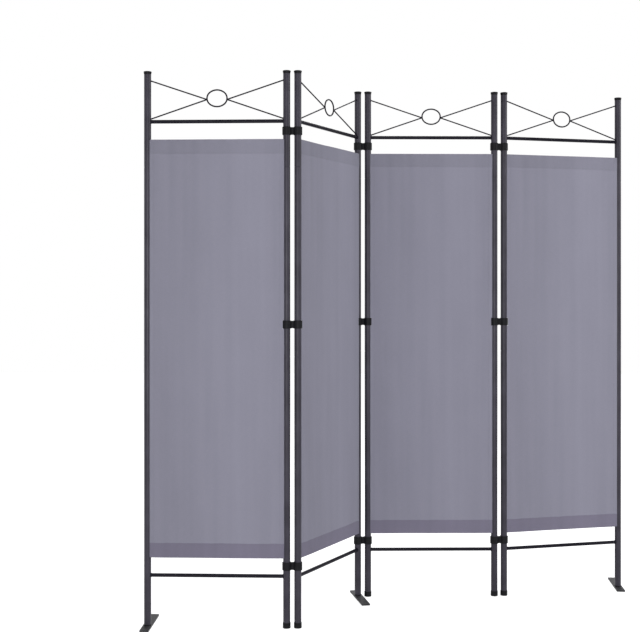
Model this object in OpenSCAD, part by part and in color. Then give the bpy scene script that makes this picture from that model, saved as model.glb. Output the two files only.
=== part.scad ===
// Folding screen of four fabric panels.
// Each panel is a frame of two round steel posts, two rails and a wire ornament,
// with a cloth drawn between the posts. Pairs of plastic rings hinge the panels
// together, and three swivelling foot plates steady the screen on the floor.
// Millimetres, +Z up. The front faces -Y, and the floor is at z = 0.

/* [Screen] */
// Height from the floor to the top of the caps
height = 1800; // [1700:10:1900]
// Width of a panel between its post axes
panel_w = 452; // [400:1:520]
// Distance between the two post axes in a hinge clip
clip_pitch = 36; // [36:0.5:40]

/* [Rest pose] */
// Turn of the first pair of clips from panel 1
clip_turn_12 = 5; // [0:1:25]
// Turn of panel 2 from the first pair of clips
panel_turn_12 = 60; // [40:1:75]
// Turn back of the second pair of clips from panel 2
clip_turn_23 = 61; // [40:1:75]
// Turn back of panel 3 from the second pair of clips
panel_turn_23 = 1; // [0:1:25]
// Turn of the third pair of clips from panel 3
clip_turn_34 = 9; // [0:1:30]
// Turn of panel 4 from the third pair of clips
panel_turn_34 = 5; // [0:1:30]
// Turn of the left foot plate from panel 1
plate_turn_1 = 90; // [60:1:120]
// Turn of the middle foot plate from panel 2
plate_turn_2 = -142; // [-150:1:-120]
// Turn of the right foot plate from panel 4
plate_turn_4 = 71; // [40:1:120]

/* [Posts] */
// Outer diameter of a post
post_d = 23; // [21:0.5:24]
// Wall of the post tube
tube_wall = 1.2; // [1:0.1:1.5]
// Drop from the top to the joint under the upper tube
upper_joint_drop = 312; // [280:1:400]
// Drop from the top to the joint under the middle tube
lower_joint_drop = 926; // [880:1:1000]
// Length of the narrowed end that plugs into the next tube
neck_l = 44; // [25:1:60]
// Height of the taper between a tube and its narrowed end
neck_taper = 2; // [1.5:0.5:4]
// Gap between a narrowed end and the tube around it
neck_gap = 0.05; // [0.03:0.01:0.1]
// Width of the seam slot that holds the cloth
seam_w = 2.6; // [2.4:0.1:3.2]
// Angle of the seam slot, from the panel's plane towards the front
seam_angle = 43; // [35:1:60]
// Room between the cloth and each end of the seam slot
seam_room = 2; // [1:0.5:5]

/* [Caps] */
// Height of a top cap's flared head
cap_head_h = 10; // [8:0.5:14]
// Diameter of a top cap at its rim
cap_rim_d = 26; // [25:0.5:27]
// Depth of a top cap's stem in the tube
cap_stem_h = 16; // [10:1:25]
// Wall of a top cap's stem
cap_stem_wall = 1.6; // [1.2:0.1:2.5]
// Height of a foot cap
foot_cap_h = 18; // [14:0.5:22]
// Diameter of a foot cap on the floor
foot_cap_d = 25.5; // [25:0.5:26.5]
// Thickness of a foot cap under the tube
foot_cap_sole = 3; // [2:0.5:5]
// Wall of a foot cap at its upper rim
foot_cap_wall = 1.2; // [1:0.1:1.5]

/* [Rails] */
// Outer diameter of a rail
rail_d = 12; // [10:0.5:13]
// Wall of a rail
rail_wall = 1; // [0.8:0.1:1.4]
// Drop from the top to the upper rail's axis
top_rail_drop = 163; // [163:1:170]
// Height of the lower rail's axis
bottom_rail_rise = 167; // [150:1:170]

/* [Ornament] */
// Drop from the top to the ring's centre
ring_drop = 88; // [85:1:92]
// Outer width of the ring
ring_w = 70; // [64:1:76]
// Outer height of the ring
ring_h = 59; // [54:1:60]
// Thickness of the ring's wire
ring_wire_d = 5; // [4:0.5:6]
// Thickness of the straight wires
wire_d = 4.5; // [3.5:0.5:5]
// Drop from the top to where the wires meet the ring's sides
wire_meet_drop = 92; // [88:1:94]
// Drop from the top to the upper wires' outer ends
upper_wire_drop = 27; // [24:1:36]
// Drop from the top to the lower wires' outer ends
lower_wire_drop = 158; // [150:1:158]

/* [Cloth] */
// Drop from the top to the cloth's upper edge
cloth_top_drop = 222; // [221:1:240]
// Height of the cloth's lower edge
cloth_bottom_rise = 226; // [222:1:250]
// Thickness of the single cloth
cloth_t = 0.9; // [0.6:0.1:1.2]
// Thickness of a folded hem
hem_t = 1.6; // [1.4:0.1:1.8]
// Height of the upper and lower hems
hem_h = 46; // [25:1:60]
// Width of the side hems
side_hem_w = 16; // [14:1:30]
// Diameter of the cord in the cloth's side edge
welt_d = 4.4; // [4:0.1:5]

/* [Hinge clips] */
// Height of a clip
clip_h = 26; // [20:1:28]
// Wall of a clip's ring
clip_wall = 2.8; // [2.4:0.1:3.2]
// Running gap between a post and its ring
clip_gap = 0.08; // [0.05:0.01:0.1]
// Radius of the hollows between a clip's two rings
clip_waist_r = 8; // [7:0.5:12]
// Height of the bevels on a clip's edges
clip_bevel = 0.8; // [0.4:0.1:1]
// Drop from the top to the upper clip's centre
upper_clip_drop = 195; // [192:1:198]
// Drop from the top to the middle clip's centre
middle_clip_drop = 820; // [700:1:860]
// Height of the lower clip's centre
lower_clip_rise = 200; // [194:1:203]
// Room round a middle clip in the cloth's edge
notch_room = 1.2; // [1:0.2:4]

/* [Feet] */
// Length of a foot plate
plate_l = 200; // [170:1:220]
// Width of a foot plate
plate_w = 29.5; // [26:0.5:30]
// Thickness of a foot plate
plate_t = 5; // [4:0.5:6]
// Distance from a foot plate's middle to its hole
plate_offset = 32; // [20:1:40]
// Corner radius of a foot plate
plate_corner_r = 2.5; // [1:0.5:6]
// Play between a foot plate and the insert above it
plate_play = 0.3; // [0.3:0.1:0.6]
// Thickness of the insert's flange
insert_flange_t = 2; // [1.5:0.5:4]
// Depth of the insert in the tube
insert_h = 24; // [18:1:40]
// Shank diameter of a foot screw
screw_d = 6; // [5:0.5:6]
// Head diameter of a foot screw
screw_head_d = 12; // [10.5:0.5:12.5]
// Depth of the screw's shank in the insert
screw_reach = 16; // [10:1:20]
// Gap between the screw's shank and the plate's hole
swivel_gap = 0.08; // [0.05:0.01:0.1]
// Height of the screw's head above the floor
screw_lift = 0.4; // [0.3:0.1:0.6]

/* [Hidden] */
$fn = 64;
eps = 0.01;
steel_black = [0.09, 0.09, 0.10];
plastic_black = [0.05, 0.05, 0.055];
zinc_grey = [0.62, 0.63, 0.65];
cloth_grey = [0.52, 0.51, 0.57];

// The posts and headings of the standing screen, worked out along its zigzag
function along(angle) = [cos(angle), sin(angle)];
heading_1 = 0;
clip_heading_12 = heading_1 + clip_turn_12;
heading_2 = clip_heading_12 + panel_turn_12;
clip_heading_23 = heading_2 - clip_turn_23;
heading_3 = clip_heading_23 - panel_turn_23;
clip_heading_34 = heading_3 + clip_turn_34;
heading_4 = clip_heading_34 + panel_turn_34;
left_1 = [0, 0];
right_1 = left_1 + panel_w * along(heading_1);
left_2 = right_1 + clip_pitch * along(clip_heading_12);
right_2 = left_2 + panel_w * along(heading_2);
left_3 = right_2 + clip_pitch * along(clip_heading_23);
right_3 = left_3 + panel_w * along(heading_3);
left_4 = right_3 + clip_pitch * along(clip_heading_34);
right_4 = left_4 + panel_w * along(heading_4);
panel_left = [left_1, left_2, left_3, left_4];
panel_right = [right_1, right_2, right_3, right_4];
panel_heading = [heading_1, heading_2, heading_3, heading_4];
clip_heading = [clip_heading_12, clip_heading_23, clip_heading_34];

// Foot plates stand under these posts, with their longer ends at these headings
plate_at = [left_1, right_2, right_4];
plate_heading = [heading_1 + plate_turn_1, heading_2 + plate_turn_2, heading_4 + plate_turn_4];
function plated(panel, side) = (panel == 1 && side == 0) || (panel == 2 && side == 1)
    || (panel == 4 && side == 1);
// A clip grips every post but the first and the last
function hinged(panel, side) = !(panel == 1 && side == 0) && !(panel == 4 && side == 1);

// The origin is the middle of the screen's outline on the floor
plate_corners = [for (i = [0:2], a = [-1, 1], b = [-1, 1])
    plate_at[i] + (plate_offset + a * plate_l / 2) * along(plate_heading[i])
                + b * plate_w / 2 * along(plate_heading[i] + 90)];
widest_r = max(cap_rim_d, foot_cap_d) / 2;
outline = concat(plate_corners,
    [for (p = concat(panel_left, panel_right), a = [-1, 1]) p + a * [widest_r, widest_r]]);
xs = [for (p = outline) p[0]];
ys = [for (p = outline) p[1]];
centre = [(min(xs) + max(xs)) / 2, (min(ys) + max(ys)) / 2];

// Posts
post_r = post_d / 2;
bore_r = post_r - tube_wall;
neck_r = bore_r - neck_gap;
neck_bore_r = neck_r - tube_wall;
upper_joint_z = height - upper_joint_drop;
lower_joint_z = height - lower_joint_drop;
tube_top_z = height - cap_head_h;
insert_z = plate_t + plate_play;
plated_tube_z = insert_z + insert_flange_t;

// Rails and ornament
top_rail_z = height - top_rail_drop;
ring_z = height - ring_drop;
wire_outer_z = [height - upper_wire_drop, height - lower_wire_drop];
// The oval ring is four arcs: a tight one at each end and a wide one above and below. They
// meet on lines of slope 4 to 3, so that every measure of the ring is a short number.
ring_half_w = (ring_w - ring_wire_d) / 2;
ring_half_h = (ring_h - ring_wire_d) / 2;
ring_longer = ring_half_w - ring_half_h;
ring_end_r = ring_half_h - 0.5 * ring_longer;
ring_end_x = 1.5 * ring_longer;
ring_side_r = ring_half_h + 2 * ring_longer;
ring_side_y = -2 * ring_longer;

// Cloth
cloth_z = cloth_bottom_rise;
cloth_h = height - cloth_top_drop - cloth_bottom_rise;
seam_z = cloth_z - seam_room;
seam_top_z = cloth_z + cloth_h + seam_room;
bend_clear = 0.2;
bend_r = post_r + hem_t / 2 + bend_clear;
bend_x = bend_r * cos(seam_angle);
bend_y = -bend_r * sin(seam_angle);
welt_r = welt_d / 2;
welt_gap = 0.2;
welt_at_r = neck_bore_r - welt_gap - welt_r;

// Clips
ring_bore_r = post_r + clip_gap;
ring_outer_r = ring_bore_r + clip_wall;
clip_z = [lower_clip_rise, height - middle_clip_drop, height - upper_clip_drop];
waist_centre_y = sqrt(pow(ring_outer_r + clip_waist_r, 2) - pow(clip_pitch / 2, 2));
waist_share = ring_outer_r / (ring_outer_r + clip_waist_r);
waist_x = clip_pitch / 2 * (1 - waist_share);
waist_y = waist_centre_y * waist_share;
notch_r = ring_outer_r + notch_room;
notch_h = clip_h + 2 * notch_room;

// Foot screws
head_r = screw_head_d / 2;
shank_r = screw_d / 2;
head_h = head_r - shank_r;
swivel_r = shank_r + swivel_gap;
sink_r = head_r + screw_lift + swivel_gap;
thread_gap = 0.04;
socket_across = 4;
socket_depth = 2;

PANEL_NODES = ["left_upper_tube", "left_middle_tube", "left_lower_tube",
    "right_upper_tube", "right_middle_tube", "right_lower_tube",
    "top_rail", "bottom_rail", "ornament", "cloth", "top_caps", "foot_caps"];
NODES = concat(
    [for (p = [1:4], part = PANEL_NODES) str("panel_", p, "_", part)],
    [for (p = [1, 2, 4], part = ["foot_insert", "foot_screw", "foot_plate"])
        str("panel_", p, "_", part)],
    ["hinge_clips_12", "hinge_clips_23", "hinge_clips_34"]);
node = "all";

// ---- Placing ----

// Puts a panel's own frame, with its left post at zero, in the standing screen
module on_panel(panel) {
    translate(panel_left[panel - 1] - centre) rotate([0, 0, panel_heading[panel - 1]]) children();
}

// Puts a left post's piece on the left (0) or right (1) post of a panel
module at_post(side) {
    if (side == 0) children();
    else translate([panel_w, 0, 0]) mirror([1, 0, 0]) children();
}

module post_pair() {
    for (side = [0, 1]) at_post(side) children();
}

// ---- Posts ----

// Slot along the tube from z0 to z1, rounded where it ends in the wall
module seam(z0, z1, round_low, round_high) {
    rotate([0, 0, -seam_angle]) {
        translate([0, -seam_w / 2, z0]) cube([post_r + 1, seam_w, z1 - z0]);
        if (round_low) translate([0, 0, z0]) rotate([0, 90, 0]) cylinder(h = post_r + 1, d = seam_w);
        if (round_high) translate([0, 0, z1]) rotate([0, 90, 0]) cylinder(h = post_r + 1, d = seam_w);
    }
}

// Tube whose narrowed upper end plugs into the tube above it
module necked_tube(z0, z1) {
    neck_top = z1 + neck_taper + neck_l;
    rotate_extrude() polygon([
        [bore_r, z0], [post_r, z0], [post_r, z1], [neck_r, z1 + neck_taper], [neck_r, neck_top],
        [neck_bore_r, neck_top], [neck_bore_r, z1 + neck_taper], [bore_r, z1]]);
}

module upper_tube() {
    z0 = upper_joint_z + neck_taper;
    color(steel_black) difference() {
        translate([0, 0, z0]) cylinder(h = tube_top_z - z0, r = post_r);
        translate([0, 0, z0 - 1]) cylinder(h = tube_top_z - z0 + 2, r = bore_r);
        seam(z0 - 1, seam_top_z, false, true);
    }
}

module middle_tube() {
    color(steel_black) difference() {
        necked_tube(lower_joint_z + neck_taper, upper_joint_z);
        seam(lower_joint_z, upper_joint_z + neck_taper + neck_l + 1, false, false);
    }
}

module lower_tube(on_plate) {
    color(steel_black) difference() {
        necked_tube(on_plate ? plated_tube_z : foot_cap_sole, lower_joint_z);
        seam(seam_z, lower_joint_z + neck_taper + neck_l + 1, true, false);
    }
}

// ---- Caps ----

// Plug with a flared head and a hollow stem, spun from its outline
module top_cap() {
    z0 = tube_top_z;
    rim_r = cap_rim_d / 2;
    rim_h = 2.5;
    bevel_h = 1;
    bevel_w = 1.5;
    stem_r = bore_r - neck_gap;
    color(plastic_black) rotate_extrude() difference() {
        union() {
            polygon([[0, z0], [post_r, z0], [rim_r, height - rim_h], [rim_r, height - bevel_h],
                [rim_r - bevel_w, height], [0, height]]);
            translate([0, z0 - cap_stem_h]) square([stem_r, cap_stem_h + eps]);
        }
        translate([-1, z0 - cap_stem_h - 1]) square([stem_r - cap_stem_wall + 1, cap_stem_h + 1]);
    }
}

// Cup that shoes the end of a post, with a rounded edge on the floor
module foot_cap() {
    foot_r = foot_cap_d / 2;
    rim_r = post_r + neck_gap + foot_cap_wall;
    edge_r = 2;
    bevel = 0.4;
    color(plastic_black) rotate_extrude() polygon(concat(
        [[0, 0]],
        [for (a = [0:22.5:90]) [foot_r - edge_r * (1 - sin(a)), edge_r * (1 - cos(a))]],
        [[rim_r, foot_cap_h - bevel], [rim_r - bevel, foot_cap_h], [post_r + neck_gap, foot_cap_h],
        [post_r + neck_gap, foot_cap_sole], [0, foot_cap_sole]]));
}

// ---- Rails and ornament ----

// Straight rail between the posts, its ends cut to the round of the posts
module rail(z) {
    color(steel_black) difference() {
        translate([0, 0, z]) rotate([0, 90, 0]) cylinder(h = panel_w, d = rail_d);
        translate([0, 0, z]) rotate([0, 90, 0]) cylinder(h = panel_w, d = rail_d - 2 * rail_wall);
        post_pair() translate([0, 0, z - rail_d]) cylinder(h = 2 * rail_d, r = post_r);
    }
}

// Round bar from a to b, both in the panel's plane and given as [x, z]
module bar(a, b, d) {
    run = b - a;
    translate([a[0], 0, a[1]]) rotate([0, 90 - atan2(run[1], run[0]), 0])
        cylinder(h = norm(run), d = d);
}

// Arc of the ring's wire from one direction to another: the part of a whole round that lies
// in a wedge from its centre, which reaches past any arc of the ring
module ring_arc(centre, r, from, to) {
    reach = ring_w / 4;
    intersection() {
        translate(centre) rotate_extrude() translate([r, 0]) circle(d = ring_wire_d);
        translate([centre[0], centre[1], -ring_wire_d])
            linear_extrude(2 * ring_wire_d) polygon([[0, 0], reach * from, reach * to]);
    }
}

module ornament_ring() {
    translate([panel_w / 2, 0, ring_z]) rotate([90, 0, 0]) for (half = [0, 1]) rotate([0, 0, 180 * half]) {
        ring_arc([ring_end_x, 0], ring_end_r, [3, -4], [3, 4]);
        ring_arc([0, ring_side_y], ring_side_r, [3, 4], [-3, 4]);
    }
}

// Ring and its four straight wires, welded together and cut to the round of the posts
module ornament() {
    ring_side = [panel_w / 2 - ring_half_w, height - wire_meet_drop];
    color(steel_black) difference() {
        union() {
            ornament_ring();
            post_pair() for (z = wire_outer_z) bar([0, z], ring_side, wire_d);
        }
        post_pair() translate([0, 0, wire_outer_z[1] - wire_d])
            cylinder(h = height - wire_outer_z[1], r = post_r);
    }
}

// ---- Cloth ----

// Edge of the cloth seen from above: cord, flap through the slot, bend and side hem
module cloth_edge() {
    rotate(-seam_angle) {
        translate([welt_at_r, 0]) circle(r = welt_r);
        translate([welt_at_r, -hem_t / 2]) square([bend_r - welt_at_r, hem_t]);
    }
    translate([bend_x, bend_y]) circle(d = hem_t);
    translate([bend_x, bend_y - hem_t / 2]) square([side_hem_w, hem_t]);
}

module cloth_strip(z, h, t) {
    translate([bend_x, bend_y - t / 2, z]) cube([panel_w - 2 * bend_x, t, h]);
}

// Space for a middle clip: the flap is cut away, the cord stays in the tube
module clip_notch() {
    translate([0, 0, clip_z[1] - notch_h / 2]) difference() {
        cylinder(h = notch_h, r = notch_r);
        translate([0, 0, -1]) cylinder(h = notch_h + 2, r = bore_r);
    }
}

module cloth(panel) {
    color(cloth_grey) difference() {
        union() {
            cloth_strip(cloth_z, cloth_h, cloth_t);
            cloth_strip(cloth_z, hem_h, hem_t);
            cloth_strip(cloth_z + cloth_h - hem_h, hem_h, hem_t);
            post_pair() translate([0, 0, cloth_z]) linear_extrude(cloth_h) cloth_edge();
        }
        for (side = [0, 1]) if (hinged(panel, side)) at_post(side) clip_notch();
    }
}

// ---- Hinge clips ----

// Ring with bevelled edges
module clip_ring() {
    h = clip_h / 2;
    rotate_extrude() polygon([
        [ring_bore_r, clip_bevel - h], [ring_bore_r + clip_bevel, -h],
        [ring_outer_r - clip_bevel, -h], [ring_outer_r, clip_bevel - h],
        [ring_outer_r, h - clip_bevel], [ring_outer_r - clip_bevel, h],
        [ring_bore_r + clip_bevel, h], [ring_bore_r, h - clip_bevel]]);
}

// Waist between the two rings, hollowed on both sides and ending inside the rings' walls
module clip_waist() {
    h = clip_h - 3 * clip_bevel;
    translate([clip_pitch / 2, 0, -h / 2]) linear_extrude(h) difference() {
        square([2 * waist_x, 2 * waist_y], center = true);
        for (side = [-1, 1]) {
            translate([0, side * waist_centre_y]) circle(r = clip_waist_r);
            translate([side * clip_pitch / 2, 0]) circle(r = ring_bore_r + clip_wall / 2);
        }
    }
}

module hinge_clip() {
    color(plastic_black) {
        clip_ring();
        translate([clip_pitch, 0, 0]) clip_ring();
        clip_waist();
    }
}

// The three clips of fold line i, one above the other
module hinge_clips(i) {
    translate(panel_right[i] - centre) rotate([0, 0, clip_heading[i]])
        for (z = clip_z) translate([0, 0, z]) hinge_clip();
}

// ---- Feet ----

// Flanged plug in the end of a post, with the tapped hole for the foot screw
module foot_insert() {
    color(plastic_black) translate([0, 0, insert_z]) difference() {
        union() {
            cylinder(h = insert_flange_t, r = post_r);
            cylinder(h = insert_flange_t + insert_h, r = bore_r - neck_gap);
        }
        translate([0, 0, -1]) cylinder(h = insert_flange_t + insert_h + 2, r = shank_r + thread_gap);
    }
}

// Countersunk screw with a hexagon socket
module foot_screw() {
    color(zinc_grey) difference() {
        rotate_extrude() polygon([
            [0, screw_lift], [head_r, screw_lift], [shank_r, screw_lift + head_h],
            [shank_r, insert_z + screw_reach], [0, insert_z + screw_reach]]);
        translate([0, 0, screw_lift - 1])
            cylinder(h = socket_depth + 1, d = socket_across / cos(30), $fn = 6);
    }
}

// Flat bar with rounded corners and a countersunk hole nearer one end
module foot_plate() {
    inner_l = plate_l - 2 * plate_corner_r;
    inner_w = plate_w - 2 * plate_corner_r;
    color(steel_black) difference() {
        linear_extrude(plate_t) translate([plate_offset, 0]) {
            square([plate_l, inner_w], center = true);
            square([inner_l, plate_w], center = true);
            for (a = [-1, 1], b = [-1, 1])
                translate([a * inner_l / 2, b * inner_w / 2]) circle(r = plate_corner_r);
        }
        translate([0, 0, -1]) cylinder(h = plate_t + 2, r = swivel_r);
        translate([0, 0, -eps]) cylinder(h = sink_r - swivel_r + eps, r1 = sink_r + eps, r2 = swivel_r);
    }
}

// The foot plate under post i of plate_at
module placed_plate(i) {
    translate(plate_at[i] - centre) rotate([0, 0, plate_heading[i]]) foot_plate();
}

// ---- The screen ----

function wanted(name) = node == "all" || node == name;

for (p = [1:4]) {
    if (wanted(str("panel_", p, "_left_upper_tube"))) on_panel(p) upper_tube();
    if (wanted(str("panel_", p, "_left_middle_tube"))) on_panel(p) middle_tube();
    if (wanted(str("panel_", p, "_left_lower_tube"))) on_panel(p) lower_tube(plated(p, 0));
    if (wanted(str("panel_", p, "_right_upper_tube"))) on_panel(p) at_post(1) upper_tube();
    if (wanted(str("panel_", p, "_right_middle_tube"))) on_panel(p) at_post(1) middle_tube();
    if (wanted(str("panel_", p, "_right_lower_tube"))) on_panel(p) at_post(1) lower_tube(plated(p, 1));
    if (wanted(str("panel_", p, "_top_rail"))) on_panel(p) rail(top_rail_z);
    if (wanted(str("panel_", p, "_bottom_rail"))) on_panel(p) rail(bottom_rail_rise);
    if (wanted(str("panel_", p, "_ornament"))) on_panel(p) ornament();
    if (wanted(str("panel_", p, "_cloth"))) on_panel(p) cloth(p);
    if (wanted(str("panel_", p, "_top_caps"))) on_panel(p) post_pair() top_cap();
    if (wanted(str("panel_", p, "_foot_caps"))) on_panel(p)
        for (side = [0, 1]) if (!plated(p, side)) at_post(side) foot_cap();
}
if (wanted("panel_1_foot_insert")) on_panel(1) foot_insert();
if (wanted("panel_2_foot_insert")) on_panel(2) at_post(1) foot_insert();
if (wanted("panel_4_foot_insert")) on_panel(4) at_post(1) foot_insert();
if (wanted("panel_1_foot_screw")) on_panel(1) foot_screw();
if (wanted("panel_2_foot_screw")) on_panel(2) at_post(1) foot_screw();
if (wanted("panel_4_foot_screw")) on_panel(4) at_post(1) foot_screw();
if (wanted("panel_1_foot_plate")) placed_plate(0);
if (wanted("panel_2_foot_plate")) placed_plate(1);
if (wanted("panel_4_foot_plate")) placed_plate(2);
if (wanted("hinge_clips_12")) hinge_clips(0);
if (wanted("hinge_clips_23")) hinge_clips(1);
if (wanted("hinge_clips_34")) hinge_clips(2);
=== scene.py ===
# %% [markdown]
# # A folding screen of four cloth panels
# The real screen is a zigzag of steel frames. Each frame has two round posts, two rails and a
# wire ornament, and a grey cloth is drawn between its posts. The steel, the plastic clips and the
# feet come from the imported model, already in place. What is left for Blender is the look of them:
# the paint, the plastic, the cloth with its hems and stitches, and the welds.
# We start by loading the model.

# %% Load the imported screen
import math
import bpy
from mathutils import Matrix, Vector, noise


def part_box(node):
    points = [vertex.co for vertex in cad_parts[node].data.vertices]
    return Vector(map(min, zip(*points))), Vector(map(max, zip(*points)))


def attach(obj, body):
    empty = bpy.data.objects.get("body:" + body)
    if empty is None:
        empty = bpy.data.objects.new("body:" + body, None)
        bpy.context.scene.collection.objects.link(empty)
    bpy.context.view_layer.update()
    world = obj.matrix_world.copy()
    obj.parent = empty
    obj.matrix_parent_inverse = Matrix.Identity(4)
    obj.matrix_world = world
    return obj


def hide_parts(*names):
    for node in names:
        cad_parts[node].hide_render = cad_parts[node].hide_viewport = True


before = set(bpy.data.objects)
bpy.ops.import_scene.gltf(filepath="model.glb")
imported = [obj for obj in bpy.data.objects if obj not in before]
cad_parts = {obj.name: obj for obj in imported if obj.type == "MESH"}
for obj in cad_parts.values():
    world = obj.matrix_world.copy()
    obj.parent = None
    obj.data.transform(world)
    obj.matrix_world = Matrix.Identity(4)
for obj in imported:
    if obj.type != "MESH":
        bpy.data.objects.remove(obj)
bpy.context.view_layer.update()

PANELS = (1, 2, 3, 4)

# %% [markdown]
# ## Where the panels stand
# Every node lies in one shared frame, so a panel's place is read from its posts and never typed
# in. A post is round, so the middle of its upper tube's box is the post's axis. The axes give each
# panel a matrix: its own x runs from the left post to the right one, its -y is the cloth's face.

# %% Post axes and panel frames
def post_axis(panel, side):
    low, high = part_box(f"panel_{panel}_{side}_upper_tube")
    return Vector(((low.x + high.x) / 2, (low.y + high.y) / 2, 0))


def panel_matrix(panel):
    left, right = post_axis(panel, "left"), post_axis(panel, "right")
    turn = math.atan2(right.y - left.y, right.x - left.x)
    return Matrix.Translation(left) @ Matrix.Rotation(turn, 4, "Z")


PANEL_W = (post_axis(1, "right") - post_axis(1, "left")).length
POST_R = (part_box("panel_1_left_middle_tube")[1].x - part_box("panel_1_left_middle_tube")[0].x) / 2
print(f"posts are {PANEL_W * 1000:.1f} mm apart and {POST_R * 2000:.1f} mm thick")
for panel in PANELS:
    turn = panel_matrix(panel).to_euler().z
    print(f"panel {panel} is turned {math.degrees(turn):.1f} degrees")

# %% [markdown]
# ## The camera
# The photograph was taken from a little above the middle of the screen, with the lens level: the
# posts stay upright and evenly wide. The camera's place was found by matching the posts' ends.
# A level camera that looks above or below the middle needs a small vertical shift, as a view
# camera has, and not a tilt, which would make the posts lean.

# %% Camera at the photograph's angle
# The eye is set off from the first post, so it stays put when a foot plate changes the origin.
EYE = post_axis(1, "left") + Vector((0.7068, -3.8309, 1.0768))
EYE_TURN = math.radians(2.2)
SENSOR = 36.0           # millimetres, as the lens
LENS = 66.84
SHIFT = -0.0336         # a share of the picture's width
FAR = 60                # metres, past which the camera sees nothing
bpy.ops.object.camera_add(location=EYE, rotation=(math.radians(90), 0, EYE_TURN))
camera = bpy.context.object
camera.name = "camera"
camera.data.sensor_width = SENSOR
camera.data.lens = LENS
camera.data.shift_y = SHIFT
camera.data.clip_end = FAR
bpy.context.scene.camera = camera
print("camera stands", round(-EYE.y, 2), "m in front of the screen")

# %% [markdown]
# ## Floor and light
# The photograph has a plain white ground. A large pale floor runs off behind the screen, and the
# world closes the rest. Rays that come straight from the camera, or off something glossy, see pure
# white, while the light that falls on the screen stays at a plain level, so that a colour
# renders about as it is written. Four soft lamps shape the round posts: a wide one in front, a
# tall one far off on the right, a weak one on the left, and one high at the back that draws a
# bright line down each post.

# %% Floor
FLOOR_SIZE = 24
FLOOR_LIFT = 0.72       # how much whiter the eye sees the floor than its lamps make it

bpy.ops.object.select_all(action="DESELECT")
bpy.ops.mesh.primitive_plane_add(size=FLOOR_SIZE, location=(0, 0, 0))
floor = bpy.context.object
floor.name = "floor"


def white_to_the_eye(nodes, links):
    """A value of 1 for camera, glossy and transmission rays, and 0 for the rest."""
    path = nodes.new("ShaderNodeLightPath")
    either = nodes.new("ShaderNodeMath")
    either.operation = "MAXIMUM"
    links.new(path.outputs["Is Camera Ray"], either.inputs[0])
    links.new(path.outputs["Is Glossy Ray"], either.inputs[1])
    last = nodes.new("ShaderNodeMath")
    last.operation = "MAXIMUM"
    links.new(either.outputs[0], last.inputs[0])
    links.new(path.outputs["Is Transmission Ray"], last.inputs[1])
    return last.outputs[0]


floor_paint = bpy.data.materials.new("pale_floor")
floor_paint.use_nodes = True
tree = floor_paint.node_tree
paint = tree.nodes["Principled BSDF"]
paint.inputs["Base Color"].default_value = (0.86, 0.86, 0.87, 1)
paint.inputs["Roughness"].default_value = 0.9
paint.inputs["Specular IOR Level"].default_value = 0.1
# The eye sees the lit floor plus a little more, which makes white, and still sees the shadow.
paint.inputs["Emission Color"].default_value = (1, 1, 1, 1)
lift = tree.nodes.new("ShaderNodeMath")
lift.operation = "MULTIPLY"
lift.inputs[1].default_value = FLOOR_LIFT
tree.links.new(white_to_the_eye(tree.nodes, tree.links), lift.inputs[0])
tree.links.new(lift.outputs[0], paint.inputs["Emission Strength"])
floor.data.materials.append(floor_paint)
print(f"floor laid, {FLOOR_SIZE} m square")

# %% Plain colours
# Standard shows a colour as it is written, with no film curve over it.
bpy.context.scene.view_settings.view_transform = "Standard"
print("colours are shown as", bpy.context.scene.view_settings.view_transform)

# %% World
WORLD_LIGHT = 0.36
world = bpy.data.worlds.new("studio")
bpy.context.scene.world = world
world.use_nodes = True
nodes, links = world.node_tree.nodes, world.node_tree.links
background = nodes["Background"]
background.inputs["Color"].default_value = (1, 1, 1, 1)
level = nodes.new("ShaderNodeMapRange")
level.inputs["To Min"].default_value = WORLD_LIGHT
level.inputs["To Max"].default_value = 1.0
links.new(white_to_the_eye(nodes, links), level.inputs["Value"])
links.new(level.outputs["Result"], background.inputs["Strength"])
print("world light", WORLD_LIGHT)


# %% Lamps
LAMPS = (   # name, place, what it points at, width and height, watts
    ("front_lamp", (-0.2, -5.0, 1.2), (0, 0, 0.9), (1.4, 1.6), 103),
    ("right_lamp", (4.6, -1.0, 2.4), (0, 0, 1.0), (0.6, 1.8), 75),
    ("left_lamp", (-2.6, -3.6, 1.1), (0, 0, 0.9), (0.3, 2.4), 9),
    ("back_lamp", (0.4, 3.6, 4.2), (0, 0, 0.9), (1.6, 1.6), 70),
)


def soft_lamp(name, place, aim, size, watts):
    bpy.ops.object.light_add(type="AREA", location=place)
    lamp = bpy.context.object
    lamp.name = name
    lamp.data.shape = "RECTANGLE"
    lamp.data.size, lamp.data.size_y = size
    lamp.data.energy = watts
    lamp.rotation_euler = (Vector(aim) - Vector(place)).to_track_quat("-Z", "Y").to_euler()


for lamp in LAMPS:
    soft_lamp(*lamp)
print(len(LAMPS), "lamps hung")
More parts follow.
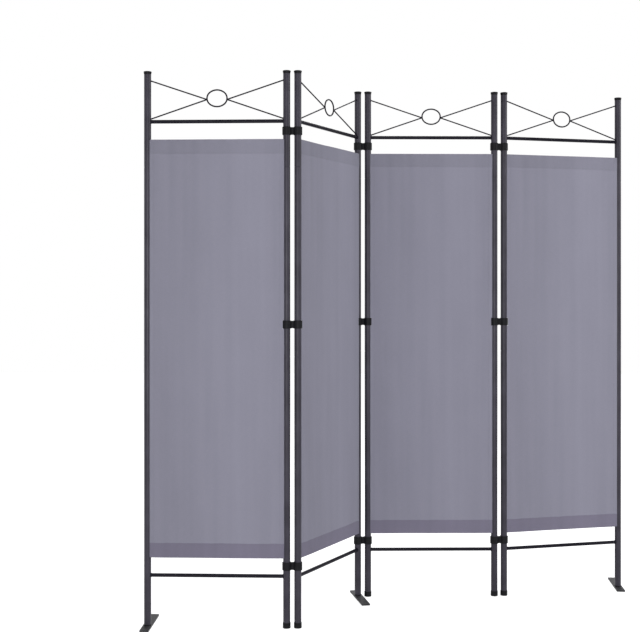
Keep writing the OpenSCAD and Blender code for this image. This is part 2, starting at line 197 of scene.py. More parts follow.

# %% [markdown]
# ## The finishes
# Each finish is a small recipe of nodes. All but the cloth read Object coordinates, which are
# metres in the shared frame, so a grain of 1 mm is a Noise scale near 1000 on every piece alike.
# The helpers below add the parts that every recipe has: a patchy mix of two close colours, a
# patchy roughness, and a fine bump. Depths of bumps are in metres.


# %% Helpers for the finishes
class Finish:
    """A new material with its Principled shader and short ways to add nodes."""

    def __init__(self, name, coordinates="Object", **constants):
        self.material = bpy.data.materials.new(name)
        self.material.use_nodes = True
        self.nodes = self.material.node_tree.nodes
        self.links = self.material.node_tree.links
        self.shader = self.nodes["Principled BSDF"]
        for socket, value in constants.items():
            self.shader.inputs[socket.replace("_", " ")].default_value = value
        self.place = self.nodes.new("ShaderNodeTexCoord").outputs[coordinates]

    def add(self, kind, wires=(), values=(), **settings):
        node = self.nodes.new(kind)
        for key, value in settings.items():
            setattr(node, key, value)
        for socket, value in dict(values).items():
            node.inputs[socket].default_value = value
        for socket, source in dict(wires).items():
            self.links.new(source, node.inputs[socket])
        return node

    def noise(self, scale, detail=2.0, roughness=0.5, place=None):
        values = {"Scale": scale, "Detail": detail, "Roughness": roughness}
        wires = {"Vector": place or self.place}
        return self.add("ShaderNodeTexNoise", wires, values).outputs["Fac"]

    def cells(self, scale, output):
        wires = {"Vector": self.place}
        return self.add("ShaderNodeTexVoronoi", wires, {"Scale": scale}).outputs[output]

    def spread(self, source, low, high, to_low=0.0, to_high=1.0):
        """Maps the values from low to high onto to_low to to_high, and goes no further."""
        values = {"From Min": low, "From Max": high, "To Min": to_low, "To Max": to_high}
        return self.add("ShaderNodeMapRange", {"Value": source}, values).outputs["Result"]

    def math(self, operation, a, b=None):
        node = self.add("ShaderNodeMath", operation=operation)
        for socket, value in ((0, a), (1, b)):
            if isinstance(value, (int, float)):
                node.inputs[socket].default_value = value
            elif value is not None:
                self.links.new(value, node.inputs[socket])
        return node.outputs[0]

    def blend(self, share, first, second):
        node = self.add("ShaderNodeMix", data_type="RGBA")
        self.links.new(share, node.inputs["Factor"])
        for socket, colour in (("A", first), ("B", second)):
            slot = [s for s in node.inputs if s.name == socket and s.type == "RGBA"][0]
            if isinstance(colour, tuple):
                slot.default_value = (*colour, 1)
            else:
                self.links.new(colour, slot)
        return [s for s in node.outputs if s.type == "RGBA"][0]

    def drive(self, socket, source):
        self.links.new(source, self.shader.inputs[socket])

    def bump(self, height, depth, strength=1.0, under=None):
        wires = {"Height": height}
        if under is not None:
            wires["Normal"] = under
        values = {"Distance": depth, "Strength": strength}
        return self.add("ShaderNodeBump", wires, values).outputs["Normal"]


print("finish helpers ready")

# %% [markdown]
# ## Powder coat
# The frame is steel tube under black powder coat. Up close such a coat has a fine orange peel and
# is a little uneven in gloss, and it is scuffed dull where feet and the vacuum cleaner knock it,
# low on the posts. The scuffs fade out above the ankle, so they read the height. The rails and
# wires get a darker mix of the same coat with less shine, which is painted shade, and the foot
# plates a duller one.


# %% Powder-coated steel
ANKLE = 0.14            # scuffs reach up to this height
DUST = 0.12             # how much lighter scuffed paint is


def powder_coat(name, dark, light, roughness, shine=0.16):
    f = Finish(name, IOR=1.5, Specular_IOR_Level=shine)
    patches = f.spread(f.noise(14, 4), 0.35, 0.65)
    fine = f.noise(420, 3)
    colour = f.blend(patches, dark, light)
    height = f.add("ShaderNodeSeparateXYZ", {"Vector": f.place}).outputs["Z"]
    near_floor = f.spread(height, ANKLE, 0.0)
    scuffs = f.spread(f.noise(130, 6, 0.7), 0.56, 0.72)
    scuffed = f.math("MULTIPLY", near_floor, scuffs)
    dusty = tuple(DUST + c for c in light)
    f.drive("Base Color", f.blend(f.math("MULTIPLY", scuffed, 0.35), colour, dusty))
    rough = f.spread(fine, 0.3, 0.7, roughness - 0.05, roughness + 0.06)
    f.drive("Roughness", f.math("ADD", rough, f.math("MULTIPLY", scuffed, 0.2)))
    peel = f.bump(f.noise(900, 2), depth=0.00012, strength=0.45)
    f.drive("Normal", f.bump(f.noise(110, 3), depth=0.0004, strength=0.12, under=peel))
    return f.material


black_steel = powder_coat("black_steel", dark=(0.032, 0.029, 0.040), light=(0.048, 0.044, 0.060),
                          roughness=0.34)
# Painted shade: the rails, wires and welds get a darker mix of the posts' coat.
painted_shade_rail = powder_coat("painted_shade_rail", dark=(0.006, 0.005, 0.010), light=(0.011, 0.010, 0.016),
                         roughness=0.38, shine=0.08)
black_plate = powder_coat("black_plate", dark=(0.026, 0.026, 0.029), light=(0.040, 0.039, 0.044),
                          roughness=0.5)
print("powder coats mixed")


# %% Plastic of the clips, caps and foot inserts
def moulded_plastic(name):
    f = Finish(name, IOR=1.47, Specular_IOR_Level=0.12)
    clouds = f.spread(f.noise(45, 5, 0.6), 0.3, 0.7)
    f.drive("Base Color", f.blend(clouds, (0.004, 0.004, 0.005), (0.008, 0.008, 0.010)))
    f.drive("Roughness", f.spread(f.noise(260, 3), 0.3, 0.7, 0.46, 0.6))
    f.drive("Normal", f.bump(f.cells(1500, "Distance"), depth=0.00008, strength=0.5))
    return f.material


black_plastic = moulded_plastic("black_plastic")
print("plastic mixed")


# %% Zinc of the foot screws
def zinc_plate(name):
    f = Finish(name, Metallic=1.0, Anisotropic=0.3)
    spangle = f.add("ShaderNodeRGBToBW", {"Color": f.cells(420, "Color")}).outputs["Val"]
    grey = f.spread(spangle, 0.2, 0.8)
    f.drive("Base Color", f.blend(grey, (0.46, 0.47, 0.49), (0.64, 0.65, 0.66)))
    f.drive("Roughness", f.spread(f.noise(700, 3), 0.3, 0.7, 0.26, 0.42))
    f.drive("Normal", f.bump(f.noise(1600, 2), depth=0.00005, strength=0.4))
    return f.material


zinc_steel = zinc_plate("zinc_steel")
print("zinc mixed")

# %% [markdown]
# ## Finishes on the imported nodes
# The nodes keep their shapes. Only the finish in their material slots changes, chosen by what
# the name says the piece is.

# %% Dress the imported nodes
DRESS = (("rail", painted_shade_rail), ("ornament", painted_shade_rail), ("foot_plate", black_plate),
         ("foot_insert", black_plastic), ("foot_screw", zinc_steel), ("caps", black_plastic),
         ("hinge_clips", black_plastic))


def finish_for(name):
    for word, finish in DRESS:
        if word in name:
            return finish
    return black_steel


for name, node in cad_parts.items():
    node.data.materials.clear()
    node.data.materials.append(finish_for(name))
print(len(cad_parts), "nodes dressed")

# %% [markdown]
# ## The cloth and how it is held
# Each panel has one sheet of plain-woven polyester. Its top and bottom are folded to the back and
# sewn as deep hems. At each post the sheet bends into the seam slot of the tube, wraps a cord that
# can't slip back out through the slot, and comes out again to be sewn down behind as a side hem.
# A sheet could be faked with a flat slab. Here it is cut flat and folded, so the edges have real
# layers: a path seen from above gives the width, and a list of rows gives the height.

# %% Measures of the cloth
LAYER = 0.0004                  # from one layer of a fold to the next
CLOTH_THICK = 0.00034
SLOT_TURN = math.radians(43)    # between the seam slot and the panel
BEND_R = POST_R + 0.001         # where the cloth turns into the slot, from the post's axis
BEND_X, BEND_Y = BEND_R * math.cos(SLOT_TURN), -BEND_R * math.sin(SLOT_TURN)
CORD_AT = POST_R - 0.00485      # the cord's middle, from the post's axis
CORD_R = 0.0016
HEM = 0.046
SIDE_HEM = 0.016
CLOTH_LOW, CLOTH_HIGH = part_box("panel_1_cloth")[0].z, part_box("panel_1_cloth")[1].z
CLIP_Z = 0.980                  # the middle clips' height
NOTCH_X, NOTCH_HALF = 0.0124, 0.0137
LEFT, RIGHT = 0, 1
CLIPPED = {1: (RIGHT,), 2: (LEFT, RIGHT), 3: (LEFT, RIGHT), 4: (LEFT,)}   # sides with clips
print(f"the cloth hangs from {CLOTH_HIGH:.3f} m down to {CLOTH_LOW:.3f} m")


# %% The edge of the cloth, seen from above
BEND = 0.0012                   # radius of the turn into the slot, at the middle of the layers
BEND_STEPS = 4
THROAT = 0.003                  # past the cord's middle by this much, the layers run side by side
WRAP_FROM, WRAP_STEP = 50, -26  # degrees round the cord, from the slot's direction
WRAP_STEPS = 10
CORD_GAP = 0.00002              # between the cord and the cloth round it
HEM_COLUMN = 0.018              # one more column between the side hem's edge and the notch
FRONT_COLUMNS = 48


def ray_at(angle):
    return Vector((math.cos(angle), math.sin(angle)))


def edge_path(gap):
    """Points from the side hem's inner edge, round the cord, to the front face at the left post.

    gap is half the distance between the front and back layers. Each point comes with the
    direction in which a second layer, such as a folded hem, lies.
    """
    reach = BEND * math.tan(SLOT_TURN / 2)
    middle = Vector((BEND_X + reach, BEND_Y + BEND))
    out = Vector((math.cos(SLOT_TURN), -math.sin(SLOT_TURN)))
    aside = Vector((-math.sin(SLOT_TURN), -math.cos(SLOT_TURN)))
    leave = CORD_AT + THROAT
    cord = out * CORD_AT
    wrap = CORD_R + CLOTH_THICK / 2 + CORD_GAP + gap - LAYER / 2
    path = [(Vector((x, BEND_Y + gap)), Vector((0, -1)))
            for x in (BEND_X + SIDE_HEM, HEM_COLUMN, NOTCH_X)]
    steps = [i / BEND_STEPS for i in range(BEND_STEPS + 1)]
    rays = [ray_at(-math.pi / 2 - SLOT_TURN * t) for t in steps]
    path += [(middle + ray * (BEND - gap), ray) for ray in rays]
    path += [(out * leave - aside * gap, aside)]
    for i in range(WRAP_STEPS + 1):
        ray = ray_at(-SLOT_TURN + math.radians(WRAP_FROM + WRAP_STEP * i))
        path.append((cord + ray * wrap, -ray))
    path += [(out * leave + aside * gap, -aside)]
    path += [(middle + ray * (BEND + gap), -ray) for ray in reversed(rays)]
    return path


def section(gap):
    """The whole width, left to right, as (x, y, layer direction x, y)."""
    left = [(p.x, p.y, n.x, n.y) for p, n in edge_path(gap)]
    right = [(PANEL_W - x, y, -nx, ny) for x, y, nx, ny in reversed(left)]
    first, last = NOTCH_X, PANEL_W - NOTCH_X
    front = [(first + (last - first) * i / FRONT_COLUMNS, BEND_Y - gap, 0, 1)
             for i in range(FRONT_COLUMNS + 1)]
    return left + front + right


def lengths(points):
    """How far along the path each point is."""
    so_far = [0.0]
    for a, b in zip(points, points[1:]):
        so_far.append(so_far[-1] + math.dist(a, b))
    return so_far


FLAT_U = lengths([(x, y) for x, y, *_ in section(LAYER / 2)])
print(f"cut {FLAT_U[-1] * 1000:.0f} mm wide for {PANEL_W * 1000:.0f} mm between the posts")


# %% The rows of the cloth, from hem to hem
HEM_ROWS = (0.001, 0.010, 0.020, 0.030)         # up from the fold
EDGE_ROWS = (-0.0035, -0.0005, 0.002, 0.0045, 0.007, 0.012)     # up from the hem's edge
CLIP_ROWS = (-1, -0.5, 0, 0.5, 1)               # from a clip's middle, in halves of its notch
ROWS_BELOW, ROWS_ABOVE = 58, 46                 # steps from the hems to the clips' own rows
EASE_FROM, EASE_OVER = 0.0005, 0.006    # past the hem's edge, where the side hem gets thinner


def hem_rows():
    """Rows of the bottom hem and just past its edge, as (z, layer): 1 is behind, 0 in front."""
    rows = [(CLOTH_LOW + h, 1.0) for h in (HEM, *reversed(HEM_ROWS))]
    for i in range(1, 4):
        a = math.radians(45 * i)
        rows.append((CLOTH_LOW + LAYER / 2 * (1 - math.sin(a)), 0.5 + 0.5 * math.cos(a)))
    rows += [(CLOTH_LOW + h, 0.0) for h in HEM_ROWS]
    rows += [(CLOTH_LOW + HEM + h, 0.0) for h in EDGE_ROWS]
    return rows


def between(low, high, count):
    return [(low + (high - low) * i / count, 0.0) for i in range(1, count)]


def all_rows():
    bottom = hem_rows()
    top = [(CLOTH_LOW + CLOTH_HIGH - z, layer) for z, layer in reversed(bottom)]
    clip = [(CLIP_Z + t * NOTCH_HALF, 0.0) for t in CLIP_ROWS]
    return (bottom + between(bottom[-1][0], clip[0][0], ROWS_BELOW) + clip
            + between(clip[-1][0], top[0][0], ROWS_ABOVE) + top)


ROWS = all_rows()
FLAT_V = lengths([(z, layer * LAYER) for z, layer in ROWS])


def half_gap(z):
    """Half the distance between the side's layers: wider where the hems add two more."""
    past_hem = min(z - CLOTH_LOW, CLOTH_HIGH - z) - HEM - EASE_FROM
    return LAYER * (0.5 + max(0.0, 1 - max(0.0, past_hem) / EASE_OVER))


print(f"{len(ROWS)} rows, cut {FLAT_V[-1] * 1000:.0f} mm high")

# %% [markdown]
# ## How the cloth hangs
# A stretched cloth is never quite flat: between two posts it has a little slack, and its weight
# pulls that slack into soft upright waves. A cloth simulation finds them. A plain grid, pinned
# along both posts, falls for one second, and the moves of its crossings are kept. The detailed
# sheet then borrows the moves, so its folded hems don't have to go through the simulation.

# %% A plain grid and its crossings
def unit_grid(across, up):
    """A flat grid, and the column and row of each of its vertices."""
    bpy.ops.object.select_all(action="DESELECT")
    bpy.ops.mesh.primitive_grid_add(x_subdivisions=across, y_subdivisions=up, size=1)
    grid = bpy.context.object
    crossing = {v.index: (round((v.co.x + 0.5) * across), round((v.co.y + 0.5) * up))
                for v in grid.data.vertices}
    return grid, crossing


print("grid maker ready")


# %% Simulate the slack
ACROSS, UP = 36, 96     # cells of the plain grid
SLACK = 0.0001          # how much wider the cloth is than the room it has, as a share
START = 0.0015          # the cloth's first waves, which tell it which way to go
PANEL_SEED = 7.3        # from one panel's noise to the next
FRAMES = 24


def hang(panel):
    """The sideways move of each crossing of a grid hung between the posts, simulated."""
    low_x, high_x = BEND_X, PANEL_W - BEND_X
    grid, crossing = unit_grid(ACROSS, UP)
    for vertex in grid.data.vertices:
        i, j = crossing[vertex.index]
        x = low_x + (high_x - low_x) * i / ACROSS
        z = CLOTH_LOW + (CLOTH_HIGH - CLOTH_LOW) * j / UP
        free = math.sin(math.pi * i / ACROSS)
        seed = noise.noise(Vector((x * 11, z * 0.9, panel * PANEL_SEED)))
        vertex.co = (x, BEND_Y + START * seed * free, z)
    pins = grid.vertex_groups.new(name="posts")
    pins.add([v for v, (i, j) in crossing.items() if i in (0, ACROSS)], 1.0, "ADD")
    cloth = grid.modifiers.new("cloth", "CLOTH")
    cloth.settings.quality = 6
    cloth.settings.mass = 0.02
    cloth.settings.tension_stiffness = 80
    cloth.settings.compression_stiffness = 80
    cloth.settings.shear_stiffness = 20
    cloth.settings.bending_stiffness = 10
    cloth.settings.shrink_min = -SLACK
    cloth.settings.vertex_group_mass = "posts"
    cloth.point_cache.frame_start, cloth.point_cache.frame_end = 1, FRAMES
    for step in range(1, FRAMES + 1):
        bpy.context.scene.frame_set(step)
    seen = grid.evaluated_get(bpy.context.evaluated_depsgraph_get())
    moves = {crossing[v.index]: v.co.y - BEND_Y for v in seen.data.vertices}
    bpy.context.scene.frame_set(1)
    bpy.data.objects.remove(grid)
    return moves


SAG = {panel: (hang)(panel) for panel in PANELS}
for panel in PANELS:
    moves = SAG[panel].values()
    print(f"panel {panel}: the cloth moves {min(moves) * 1000:.2f} to {max(moves) * 1000:.2f} mm")


# %% Read the slack anywhere
def sag(panel, x, z):
    """The simulated sideways move at a place of the cloth, between the grid's crossings."""
    moves = SAG[panel]
    s = (x - BEND_X) / (PANEL_W - 2 * BEND_X) * ACROSS
    t = (z - CLOTH_LOW) / (CLOTH_HIGH - CLOTH_LOW) * UP
    if not 0 < s < ACROSS:
        return 0.0
    t = max(0.0, min(UP - 1e-6, t))
    i, j = int(s), int(t)
    s, t = s - i, t - j
    lower = moves[i, j] * (1 - s) + moves[i + 1, j] * s
    upper = moves[i, j + 1] * (1 - s) + moves[i + 1, j + 1] * s
    return lower * (1 - t) + upper * t


print(f"the middle of panel 1 moves {sag(1, PANEL_W / 2, CLIP_Z) * 1000:.2f} mm")

# %% [markdown]
# ## Folding the sheet
# The sheet starts as a flat grid with one column for each point of the edge path and one row for
# each entry of the list. Every crossing is moved to its folded place. Its place in the flat cloth
# goes into the UV map, in metres, so the weave runs true over every fold. Where a middle clip
# grips the post, the side of the cloth is cut away. Solidify then gives the one layer its
# thickness.


# %% Shade and settle a finished piece
def finish_piece(piece, panel, material, angle=40):
    """Puts a piece made in the panel's own frame into the shared one, and names its finish."""
    piece.data.transform(panel_matrix(panel))
    piece.data.materials.clear()
    piece.data.materials.append(material)
    bpy.ops.object.select_all(action="DESELECT")
    piece.select_set(True)
    bpy.context.view_layer.objects.active = piece
    bpy.ops.object.shade_smooth_by_angle(angle=math.radians(angle))
    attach(piece, f"panel_{panel}")


def apply_modifiers(piece):
    bpy.context.view_layer.objects.active = piece
    for modifier in list(piece.modifiers):
        bpy.ops.object.modifier_apply(modifier=modifier.name)


print("helpers for finished pieces ready")


# %% Materials of the cloth and its thread
THREAD_PITCH = 0.00055
TURN = 2 * math.pi


def woven_cloth(name):
    """Plain weave with slubs, faint upright bands, and painted light and shade, darker at the hems.
    """
    f = Finish(name, "UV", Roughness=0.88, Specular_IOR_Level=0.12, Sheen_Weight=0.08,
               Sheen_Roughness=0.5)
    flat = f.add("ShaderNodeSeparateXYZ", {"Vector": f.place})
    u, v = flat.outputs["X"], flat.outputs["Y"]

    def threads(along_u, along_v):
        vector = f.add("ShaderNodeCombineXYZ", {"X": f.math("MULTIPLY", u, along_u),
                                                "Y": f.math("MULTIPLY", v, along_v)}).outputs[0]
        return f.noise(1.0, 2, 0.5, place=vector)

    slubs = f.math("ADD", threads(60, 1900), threads(1900, 60))
    bands = f.spread(threads(26, 1.1), 0.3, 0.7, -0.035, 0.035)
    clouds = f.spread(threads(9, 7), 0.3, 0.7, -0.012, 0.012)
    tone = f.math("ADD", f.math("ADD", f.spread(slubs, 0.7, 1.3, -0.05, 0.05), bands), clouds)
    # Painted light and shade: a little darker at the left of the width, lighter past the middle.
    across = f.math("SUBTRACT", f.math("MULTIPLY", u, TURN / FLAT_U[-1]), TURN * 0.42)
    tone = f.math("ADD", tone, f.math("MULTIPLY", f.math("SINE", across), 0.05))
    # Each hem's painted shade ends in a soft, slightly wandering line, just past the hem's edge.
    wander = f.math("MULTIPLY", f.math("SUBTRACT", threads(24, 1), 0.5), 0.004)
    edge_v = f.math("ADD", v, wander)
    start, end = 2 * HEM + 0.0008, 2 * HEM + 0.0022
    low_hem_shade = f.spread(edge_v, start, end, 1.0, 0.0)
    high_hem_shade = f.spread(edge_v, FLAT_V[-1] - end, FLAT_V[-1] - start)
    # Painted shade on the top hem, where two layers of cloth would let less light through.
    tone = f.math("SUBTRACT", tone, f.math("MULTIPLY", high_hem_shade, 0.09))
    share = f.spread(tone, -0.5, 0.5)
    single = f.blend(share, (0.125, 0.123, 0.153), (0.375, 0.369, 0.459))
    # Painted shade on the bottom hem, darker still than at the top.
    shaded_hem_colour = f.blend(share, (0.094, 0.088, 0.118), (0.281, 0.262, 0.352))
    f.drive("Base Color", f.blend(low_hem_shade, single, shaded_hem_colour))
    wave_u = f.math("SINE", f.math("MULTIPLY", u, TURN / THREAD_PITCH))
    wave_v = f.math("SINE", f.math("MULTIPLY", v, TURN / THREAD_PITCH))
    weave = f.bump(f.math("MULTIPLY", wave_u, wave_v), depth=0.00006, strength=0.5)
    f.drive("Normal", f.bump(slubs, depth=0.0001, strength=0.35, under=weave))
    return f.material


def spun_thread(name):
    """Thread of the seams and the cord, with a slanting twist."""
    f = Finish(name, Roughness=0.8, Specular_IOR_Level=0.2, Sheen_Weight=0.1)
    twist = f.add("ShaderNodeTexWave", {"Vector": f.place}, {"Scale": 900.0, "Distortion": 0.6},
                  bands_direction="DIAGONAL").outputs["Fac"]
    f.drive("Base Color", f.blend(twist, (0.12, 0.118, 0.14), (0.2, 0.196, 0.23)))
    f.drive("Normal", f.bump(twist, depth=0.00008, strength=0.6))
    return f.material


grey_cloth = woven_cloth("grey_cloth")
grey_thread = spun_thread("grey_thread")
print("cloth and thread woven")


# %% Fold the sheets
def in_notch(panel, x, z):
    """Whether a place of the cloth is cut away for a middle clip."""
    side = LEFT if x < PANEL_W / 2 else RIGHT
    from_post = x if side == LEFT else PANEL_W - x
    hair = 1e-5
    return (side in CLIPPED[panel] and from_post < NOTCH_X - hair
            and abs(z - CLIP_Z) < NOTCH_HALF - hair)


def folded_sheet(panel):
    sheet, crossing = unit_grid(len(FLAT_U) - 1, len(ROWS) - 1)
    sheet.name = f"panel_{panel}_cloth_sheet"
    sections, cut = {}, set()
    for vertex in sheet.data.vertices:
        i, j = crossing[vertex.index]
        z, layer = ROWS[j]
        gap = half_gap(z)
        x, y, nx, ny = sections.setdefault(gap, section(gap))[i]
        move = sag(panel, x, z)
        vertex.co = (x + nx * LAYER * layer, y + ny * LAYER * layer + move, z)
        if in_notch(panel, x, z):
            cut.add(vertex.index)
    flat = sheet.data.uv_layers[0].data
    for loop in sheet.data.loops:
        i, j = crossing[loop.vertex_index]
        flat[loop.index].uv = (FLAT_U[i], FLAT_V[j])
    bpy.context.tool_settings.mesh_select_mode = (True, False, False)
    bpy.ops.object.mode_set(mode="EDIT")
    bpy.ops.mesh.select_all(action="DESELECT")
    bpy.ops.object.mode_set(mode="OBJECT")
    for index in cut:
        sheet.data.vertices[index].select = True
    bpy.ops.object.mode_set(mode="EDIT")
    bpy.ops.mesh.delete(type="VERT")
    bpy.ops.object.mode_set(mode="OBJECT")
    area = sum(face.area for face in sheet.data.polygons)
    wall = sheet.modifiers.new("one layer", "SOLIDIFY")
    wall.thickness, wall.offset = CLOTH_THICK, 0
    apply_modifiers(sheet)
    finish_piece(sheet, panel, grey_cloth)
    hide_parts(f"panel_{panel}_cloth")
    return sheet, area


for panel in PANELS:
    sheet, area = folded_sheet(panel)
    print(f"{sheet.name}: {len(sheet.data.polygons)} faces, one layer of {area:.3f} m2")

# %% [markdown]
# ## Cords, stitches and welds
# The cord in each side seam is a plain spun cord with cut ends, a little rounded. Each hem is held
# by one row of lockstitch that shows on both sides: a short dash of thread that dips into the
# cloth at both ends. One stitch is modelled and then set down about two thousand times on each
# panel, so it has only a few faces.


# %% The cords in the side seams
CORD_SHORT = 0.002      # a cord ends 1 mm inside the cloth at the top and at the bottom
CORD_ROUND = 0.0006     # how far its cut ends are rounded


def seam_cord(panel, side):
    bpy.ops.object.select_all(action="DESELECT")
    height = CLOTH_HIGH - CLOTH_LOW - CORD_SHORT
    bpy.ops.mesh.primitive_cylinder_add(vertices=14, radius=CORD_R, depth=height)
    cord = bpy.context.object
    cord.name = f"panel_{panel}_{side}_cord"
    bpy.ops.object.mode_set(mode="EDIT")
    bpy.ops.mesh.select_all(action="DESELECT")
    bpy.ops.object.mode_set(mode="OBJECT")
    for face in cord.data.polygons:
        face.select = abs(face.normal.z) > 0.9
    bpy.ops.object.mode_set(mode="EDIT")
    bpy.ops.mesh.bevel(offset=CORD_ROUND, segments=3)
    bpy.ops.object.mode_set(mode="OBJECT")
    x = CORD_AT * math.cos(SLOT_TURN)
    place = Vector((x if side == "left" else PANEL_W - x, -CORD_AT * math.sin(SLOT_TURN),
                    (CLOTH_LOW + CLOTH_HIGH) / 2))
    cord.data.transform(Matrix.Translation(place))
    finish_piece(cord, panel, grey_thread)


for panel in PANELS:
    seam_cord(panel, "left")
    seam_cord(panel, "right")
print("8 cords laid in their seams")


# %% One stitch
STITCH_R, STITCH_LENGTH = 0.0002, 0.0024
STITCH_BEND = STITCH_LENGTH / 4     # where it starts to dip, from its middle
STITCH_RISE, STITCH_DIP = 0.00006, 0.00024
STITCH_TIP = 0.6                    # an end's thickness, as a share of the middle's


def one_stitch():
    """A dash of thread along x, proud of the cloth (-y) in its middle, with ends that dip in."""
    bpy.ops.object.select_all(action="DESELECT")
    bpy.ops.mesh.primitive_cylinder_add(vertices=6, radius=STITCH_R, depth=STITCH_LENGTH,
                                        rotation=(0, math.radians(90), 0))
    stitch = bpy.context.object
    bpy.ops.object.transform_apply(location=False, rotation=True, scale=False)
    bpy.ops.object.mode_set(mode="EDIT")
    for x in (-STITCH_BEND, STITCH_BEND):
        bpy.ops.mesh.select_all(action="SELECT")
        bpy.ops.mesh.bisect(plane_co=(x, 0, 0), plane_no=(1, 0, 0))
    bpy.ops.object.mode_set(mode="OBJECT")
    for vertex in stitch.data.vertices:
        if abs(vertex.co.x) > 1.5 * STITCH_BEND:    # the two ends, thinner and lower
            vertex.co.z *= STITCH_TIP
            vertex.co.y = vertex.co.y * STITCH_TIP + STITCH_DIP
        else:
            vertex.co.y -= STITCH_RISE
    points = [v.co.copy() for v in stitch.data.vertices]
    faces = [tuple(face.vertices) for face in stitch.data.polygons]
    bpy.data.objects.remove(stitch)
    return points, faces


STITCH_POINTS, STITCH_FACES = one_stitch()
print("one stitch has", len(STITCH_FACES), "faces")

# %% Rows of stitches
STITCH_PITCH = 0.0032
SEAM_INSET = 0.003                      # from a hem's edge, and from the ends of the side seams
HEM_SEAM = HEM - SEAM_INSET
SIDE_SEAM = BEND_X + SIDE_HEM - SEAM_INSET
HEM_SEAM_X = SIDE_SEAM + 0.002          # the hem's row starts this far from the post's axis


def stitch_places(panel):
    """Every stitch of a panel as (x, y, z, upright, behind)."""
    places = []

    def row(count, where, upright):
        for i in range(count):
            x, z = where(i)
            depth = half_gap(z) + CLOTH_THICK / 2
            back = depth if upright else LAYER - depth + CLOTH_THICK
            shift = BEND_Y + sag(panel, x, z)
            places.append((x, shift - depth, z, upright, False))
            places.append((x, shift + back, z, upright, True))

    run = PANEL_W - 2 * HEM_SEAM_X
    count = int(run / STITCH_PITCH)
    for z in (CLOTH_LOW + HEM_SEAM, CLOTH_HIGH - HEM_SEAM):
        row(count, lambda i: (HEM_SEAM_X + run * (i + 0.5) / count, z), False)
    rise = CLOTH_HIGH - CLOTH_LOW - 2 * SEAM_INSET
    count = int(rise / STITCH_PITCH)
    for x in (SIDE_SEAM, PANEL_W - SIDE_SEAM):
        row(count, lambda i: (x, CLOTH_LOW + SEAM_INSET + rise * (i + 0.5) / count), True)
    return places


def sew(panel):
    points, faces = [], []
    for x, y, z, upright, behind in stitch_places(panel):
        first = len(points)
        place = Matrix.Translation((x, y, z))
        if upright:
            place = place @ Matrix.Rotation(math.radians(90), 4, "Y")
        if behind:
            place = place @ Matrix.Rotation(math.radians(180), 4, "X" if upright else "Z")
        points += [place @ p for p in STITCH_POINTS]
        faces += [tuple(first + v for v in face) for face in STITCH_FACES]
    mesh = bpy.data.meshes.new(f"panel_{panel}_stitches")
    mesh.from_pydata(points, [], faces)
    seams = bpy.data.objects.new(f"panel_{panel}_stitches", mesh)
    bpy.context.collection.objects.link(seams)
    finish_piece(seams, panel, grey_thread, angle=80)
    return len(faces) // len(STITCH_FACES)


for panel in PANELS:
    print(f"panel {panel}: {sew(panel)} stitches")

# %% [markdown]
# ## Weld beads
# A rail or wire is welded to the round post all the way round, and the bead follows the saddle
# line where the two tubes meet. A torus is the right start: each of its points is pushed along
# the rail until its circle lies on the post, and a ripple is left as the torch leaves it.


# %% A bead on a post
def weld_bead(start, toward, radius, size, post_x):
    """A bead round a bar that leaves the post at post_x; start is on the bar's own axis."""
    bpy.ops.object.select_all(action="DESELECT")
    bpy.ops.mesh.primitive_torus_add(major_radius=radius, minor_radius=size, major_segments=28,
                                     minor_segments=8)
    bead = bpy.context.object
    side = Vector((0, 1, 0))
    up = toward.cross(side)
    for vertex in bead.data.vertices:
        a = math.atan2(vertex.co.y, vertex.co.x)
        ripple = 1 + 0.14 * math.sin(11 * a) + 0.06 * math.sin(4 * a)
        wide = radius + (math.hypot(vertex.co.x, vertex.co.y) - radius) * ripple
        across = side * math.cos(a) + up * math.sin(a)
        on_bar = start + across * radius
        to_axis = math.sqrt(max(0.0, POST_R ** 2 - on_bar.y ** 2))
        meet = (post_x + math.copysign(to_axis, toward.x) - on_bar.x) / toward.x
        vertex.co = start + across * wide + toward * (meet + vertex.co.z * ripple)
    return bead


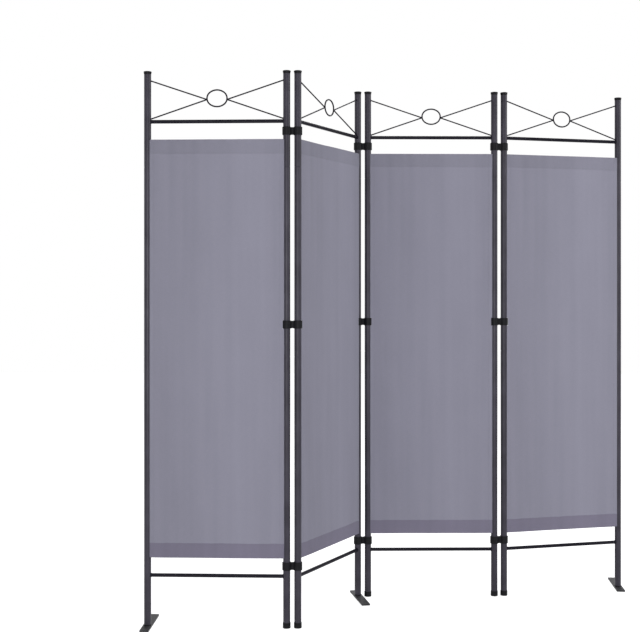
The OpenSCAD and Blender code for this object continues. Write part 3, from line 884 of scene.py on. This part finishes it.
def join(pieces, name):
    bpy.ops.object.select_all(action="DESELECT")
    for piece in pieces:
        piece.select_set(True)
    bpy.context.view_layer.objects.active = pieces[0]
    bpy.ops.object.join()
    pieces[0].name = name
    bpy.ops.object.mode_set(mode="EDIT")
    bpy.ops.mesh.select_all(action="SELECT")
    bpy.ops.mesh.normals_make_consistent(inside=False)
    bpy.ops.object.mode_set(mode="OBJECT")
    return pieces[0]


print("bead maker ready")

# %% Bead the rails and the ornament
RAIL_Z = [(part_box(f"panel_1_{rail}")[0].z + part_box(f"panel_1_{rail}")[1].z) / 2
          for rail in ("top_rail", "bottom_rail")]
RING_SIDE = Vector((PANEL_W / 2 - 0.0325, 0, 1.708))    # where the wires meet the ring, left
WIRE_Z = (1.773, 1.642)                                 # where the wires meet the posts
RAIL_R, WIRE_R = 0.006, 0.00225
RAIL_BEAD, WIRE_BEAD = 0.0012, 0.0008                   # half the beads' thickness
BLOB = (0.0048, 0.0028, 0.0036)                         # half its length, depth and height
BLOB_SHIFT = 0.003                                      # from the ring's side to the post's


def weld_blob(place):
    """The lump where two wires and the ring run together, a little flat from the torch."""
    bpy.ops.object.select_all(action="DESELECT")
    bpy.ops.mesh.primitive_ico_sphere_add(subdivisions=3, radius=1)
    blob = bpy.context.object
    for vertex in blob.data.vertices:
        lump = 1 + 0.12 * noise.noise(vertex.co * 2.2 + place * 40)
        vertex.co = place + Vector([c * half for c, half in zip(vertex.co, BLOB)]) * lump
    return blob


for panel in PANELS:
    beads = []
    for mirror, post_x in ((1, 0.0), (-1, PANEL_W)):
        for z in RAIL_Z:
            start, toward = Vector((post_x, 0, z)), Vector((mirror, 0, 0))
            beads.append(weld_bead(start, toward, RAIL_R, RAIL_BEAD, post_x))
        ring_x = RING_SIDE.x if mirror == 1 else PANEL_W - RING_SIDE.x
        for z in WIRE_Z:
            start, end = Vector((post_x, 0, z)), Vector((ring_x, 0, RING_SIDE.z))
            toward = (end - start).normalized()
            beads.append(weld_bead(start, toward, WIRE_R, WIRE_BEAD, post_x))
        beads.append(weld_blob(Vector((ring_x - mirror * BLOB_SHIFT, 0, RING_SIDE.z))))
    welds = join(beads, f"panel_{panel}_welds")
    finish_piece(welds, panel, painted_shade_rail, angle=80)
    print(f"{welds.name}: {len(welds.data.polygons)} faces")
